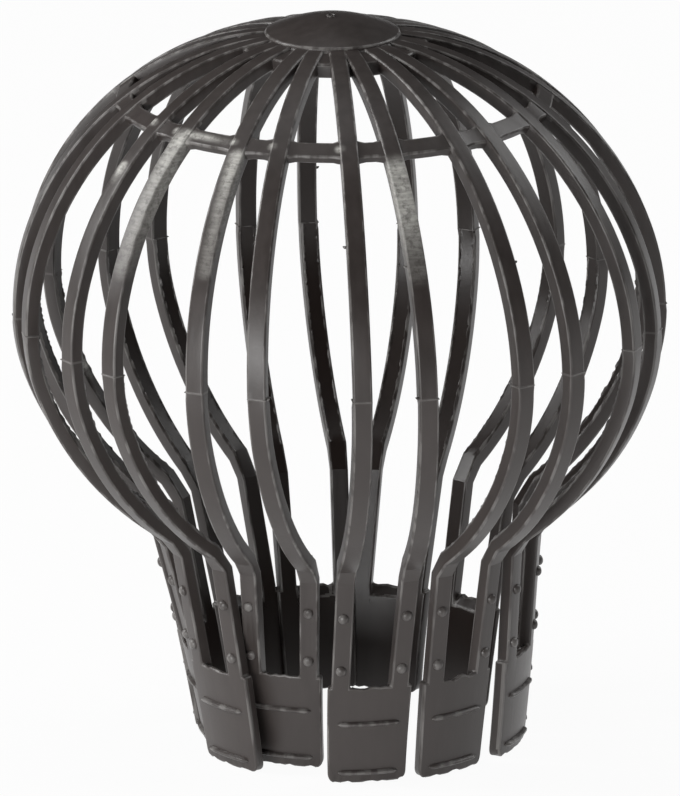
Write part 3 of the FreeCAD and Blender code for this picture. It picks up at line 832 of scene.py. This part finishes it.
STREAK_STRETCH = (1.0, 1.0, 0.14)
CLOUD_SCALE = 70
STREAK_SCALE = 520
GRAIN_SCALE = 2300
NOISE_DETAIL = 3
GRAIN_FINENESS = 0.6
CLOUD_TINT = 0.6
STREAK_TINT = 0.4
TINTS = (0.36, 0.64)
plastic = bpy.data.materials.new("black_polypropylene")
plastic.use_nodes = True
tree = plastic.node_tree
shader = tree.nodes["Principled BSDF"]
spot = add_node(tree, "ShaderNodeTexCoord")
place = spot.outputs["Object"]
stretched = add_node(tree, "ShaderNodeMapping")
wire(tree, place, stretched.inputs["Vector"])
stretched.inputs["Scale"].default_value = STREAK_STRETCH
clouds = add_noise(tree, place, CLOUD_SCALE, NOISE_DETAIL)
streaks = add_noise(tree, stretched.outputs["Vector"], STREAK_SCALE, NOISE_DETAIL)
grain = add_noise(tree, place, GRAIN_SCALE, NOISE_DETAIL, GRAIN_FINENESS)

tint = add_math(tree, "ADD", add_math(tree, "MULTIPLY", clouds, CLOUD_TINT),
                add_math(tree, "MULTIPLY", streaks, STREAK_TINT))
colour = add_blend(tree, add_range(tree, tint, *TINTS), DARK_PLASTIC, PALE_PLASTIC)

# below the parting line the plastic is painted paler, as light bounced up from the floor
LOWER_LIT_EDGE = 0.0002
LOWER_LIT_SHARE = 0.6
SCUFF_AND_HIGHLIGHT_BAND = (0.0003, 0.00012, 0.0, 0.7)
split = add_node(tree, "ShaderNodeSeparateXYZ")
wire(tree, place, split.inputs["Vector"])
height = split.outputs["Z"]
parting = PARTING_HEIGHT * METRES
lower_lit = add_range(tree, height, parting + LOWER_LIT_EDGE, parting - LOWER_LIT_EDGE, 0.0, LOWER_LIT_SHARE)
colour = add_blend(tree, lower_lit, colour, LOWER_LIT_PLASTIC)
# the parting line itself is painted pale, partly as scuffing and partly as a painted highlight on
# its step
off_parting = add_math(tree, "ABSOLUTE", add_math(tree, "SUBTRACT", height, parting))
scuff_and_highlight = add_range(tree, off_parting, *SCUFF_AND_HIGHLIGHT_BAND)
colour = add_blend(tree, add_math(tree, "MULTIPLY", scuff_and_highlight, clouds), colour, WORN_AND_HIGHLIT_PALE)

# faces that look in towards the middle of the cage are painted darker and browner, as shade inside
# the cage
INWARD_SHADE = (-0.05, -0.7)
flat_place = add_vector(tree, "MULTIPLY", place, (1, 1, 0))
outward = add_vector(tree, "NORMALIZE", flat_place.outputs["Vector"])
facing = add_vector(tree, "DOT_PRODUCT", outward.outputs["Vector"], spot.outputs["Normal"])
inner_shade = add_range(tree, facing.outputs["Value"], *INWARD_SHADE)
colour = add_blend(tree, inner_shade, colour, INNER_SHADE_AND_FOOT_DARK)

# darker in streaks towards the ends of the fingers
FOOT_DARKENING = (0.0042, 0.0004, 0.0, 0.6)
FOOT_DARKENING_STREAKS = (0.36, 0.6)
foot_darkening = add_range(tree, height, *FOOT_DARKENING)
foot_darkening = add_math(tree, "MULTIPLY", foot_darkening, add_range(tree, streaks, *FOOT_DARKENING_STREAKS))
colour = add_blend(tree, foot_darkening, colour, INNER_SHADE_AND_FOOT_DARK)

# corners painted pale, partly as wear and partly as painted highlights, and the rub marks over all
EDGE_WEAR_AND_HIGHLIGHT = (0.42, 0.62, 0.12, 0.75)
RUB_AND_HIGHLIGHT_STRENGTH = 0.95
shape = add_node(tree, "ShaderNodeAttribute", attribute_name="corner_wear_and_highlight")
corners = add_range(tree, streaks, *EDGE_WEAR_AND_HIGHLIGHT)
corners = add_math(tree, "MULTIPLY", shape.outputs["Fac"], corners)
colour = add_blend(tree, corners, colour, WORN_AND_HIGHLIT_PALE)
rubbed_and_highlit = None
for start, end, reach in RUB_AND_HIGHLIGHT_MARKS:
    mark = add_node(tree, "ShaderNodeGroup")
    mark.node_tree = rub_and_highlight_mark
    wire(tree, place, mark.inputs["Place"])
    mark.inputs["Start"].default_value = start
    mark.inputs["End"].default_value = end
    mark.inputs["Reach"].default_value = reach
    if rubbed_and_highlit is None:
        rubbed_and_highlit = mark.outputs["Mask"]
    else:
        rubbed_and_highlit = add_math(tree, "MAXIMUM", rubbed_and_highlit, mark.outputs["Mask"])
# the marks: rubbed grey with a painted sheen on three ribs, and painted highlights on the ring
# beside the ribs
colour = add_blend(tree, add_math(tree, "MULTIPLY", rubbed_and_highlit, RUB_AND_HIGHLIGHT_STRENGTH), colour, RUBBED_AND_HIGHLIT_PLASTIC)
wire(tree, colour, shader.inputs["Base Color"])

# satin roughness and a shallow relief, both a little stronger on the rub marks and painted
# highlights
SATIN = 0.26
CLOUD_DULLING = 0.14
GRAIN_DULLING = 0.1
MARK_DULLING = 0.2
dullness = add_math(tree, "MULTIPLY_ADD", clouds, CLOUD_DULLING, SATIN)
dullness = add_math(tree, "MULTIPLY_ADD", grain, GRAIN_DULLING, dullness)
dullness = add_math(tree, "MULTIPLY_ADD", rubbed_and_highlit, MARK_DULLING, dullness)
wire(tree, dullness, shader.inputs["Roughness"])

STREAK_RELIEF = 0.5
GRAIN_RELIEF = 0.35
MARK_RELIEF = 0.4
RELIEF_STRENGTH = 0.35
RELIEF_DEPTH = 0.00012
relief = add_math(tree, "MULTIPLY", grain, GRAIN_RELIEF)
relief = add_math(tree, "MULTIPLY_ADD", streaks, STREAK_RELIEF, relief)
relief = add_math(tree, "MULTIPLY_ADD", rubbed_and_highlit, MARK_RELIEF, relief)
bump = add_node(tree, "ShaderNodeBump")
bump.inputs["Strength"].default_value = RELIEF_STRENGTH
bump.inputs["Distance"].default_value = RELIEF_DEPTH
wire(tree, relief, bump.inputs["Height"])
wire(tree, bump.outputs["Normal"], shader.inputs["Normal"])
moulding.data.materials.clear()
moulding.data.materials.append(plastic)

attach(moulding, "root")
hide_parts("leaf_filter")

# Studio: a plain white paper floor that keeps a faint shadow, a soft light low in front, one at
# each side and a weak one above, a dim room, and the camera at the photograph's angle.
FLOOR_SIZE = 8
PAPER_WHITE = (0.9, 0.9, 0.9, 1)
PAPER_ROUGHNESS = 0.9
PAPER_GLOW = 0.95
ROOM_GREY = (0.07, 0.07, 0.07, 1)
BACKDROP_WHITE = (1, 1, 1, 1)
bpy.ops.mesh.primitive_plane_add(size=FLOOR_SIZE, location=(0, 0, 0))
floor = bpy.context.object
floor.name = "floor"
paper = bpy.data.materials.new("white_paper")
paper.use_nodes = True
tree = paper.node_tree
matt = tree.nodes["Principled BSDF"]
matt.inputs["Base Color"].default_value = PAPER_WHITE
matt.inputs["Roughness"].default_value = PAPER_ROUGHNESS
glow = add_node(tree, "ShaderNodeEmission")
glow.inputs["Strength"].default_value = 1.0
seen = add_node(tree, "ShaderNodeLightPath")
seen_or_mirrored = add_math(
    tree, "MAXIMUM", seen.outputs["Is Camera Ray"], seen.outputs["Is Glossy Ray"])
blend = add_node(tree, "ShaderNodeMixShader")
wire(tree, add_math(tree, "MULTIPLY", seen_or_mirrored, PAPER_GLOW), blend.inputs["Fac"])
wire(tree, matt.outputs["BSDF"], blend.inputs[1])
wire(tree, glow.outputs["Emission"], blend.inputs[2])
wire(tree, blend.outputs["Shader"], tree.nodes["Material Output"].inputs["Surface"])
floor.data.materials.append(paper)

world = bpy.data.worlds.new("studio")
bpy.context.scene.world = world
world.use_nodes = True
tree = world.node_tree
room = tree.nodes["Background"]
room.inputs["Color"].default_value = ROOM_GREY
white = add_node(tree, "ShaderNodeBackground")
white.inputs["Color"].default_value = BACKDROP_WHITE
seen = add_node(tree, "ShaderNodeLightPath")
blend = add_node(tree, "ShaderNodeMixShader")
wire(tree, seen.outputs["Is Camera Ray"], blend.inputs["Fac"])
wire(tree, room.outputs["Background"], blend.inputs[1])
wire(tree, white.outputs["Background"], blend.inputs[2])
wire(tree, blend.outputs["Shader"], tree.nodes["World Output"].inputs["Surface"])


def soft_light(name, place, aim, width, height, power):
    """A soft rectangular lamp that looks at the filter's axis, at the height of its aim."""
    lamp = bpy.data.lights.new(name, "AREA")
    lamp.shape = "RECTANGLE"
    lamp.size = width
    lamp.size_y = height
    lamp.energy = power
    holder = bpy.data.objects.new(name, lamp)
    bpy.context.scene.collection.objects.link(holder)
    holder.location = place
    flat = math.hypot(place[0], place[1])
    holder.rotation_euler = (
        math.atan2(flat, place[2] - aim), 0, math.atan2(place[0], -place[1]))


soft_light("front_light", place=(-0.75, -1.0, 0.13), aim=0.07, width=0.8, height=0.25, power=9)
soft_light("left_light", place=(-1.0, 0.25, 0.7), aim=0.09, width=0.3, height=0.8, power=10)
soft_light("right_light", place=(0.95, 0.4, 0.8), aim=0.09, width=0.5, height=0.8, power=5)
soft_light("top_light", place=(-0.1, 0.2, 1.2), aim=0.1, width=0.7, height=0.7, power=1.5)

CAMERA_DISTANCE = 2.4
CAMERA_AZIMUTH = -9.7
CAMERA_ELEVATION = 16.4
AIM_HEIGHT = 0.0644
SENSOR_WIDTH = 36
LENS = 592
eye = bpy.data.cameras.new("photo_camera")
eye.sensor_width = SENSOR_WIDTH
eye.lens = LENS
camera = bpy.data.objects.new("photo_camera", eye)
bpy.context.scene.collection.objects.link(camera)
azimuth = math.radians(CAMERA_AZIMUTH)
elevation = math.radians(CAMERA_ELEVATION)
level = CAMERA_DISTANCE * math.cos(elevation)
camera.location = (
    level * math.sin(azimuth), -level * math.cos(azimuth),
    parting + CAMERA_DISTANCE * math.sin(elevation))
drop = camera.location.z - AIM_HEIGHT
camera.rotation_euler = (math.atan2(level, drop), 0, azimuth)
bpy.context.scene.camera = camera
bpy.context.scene.view_settings.view_transform = "Standard"
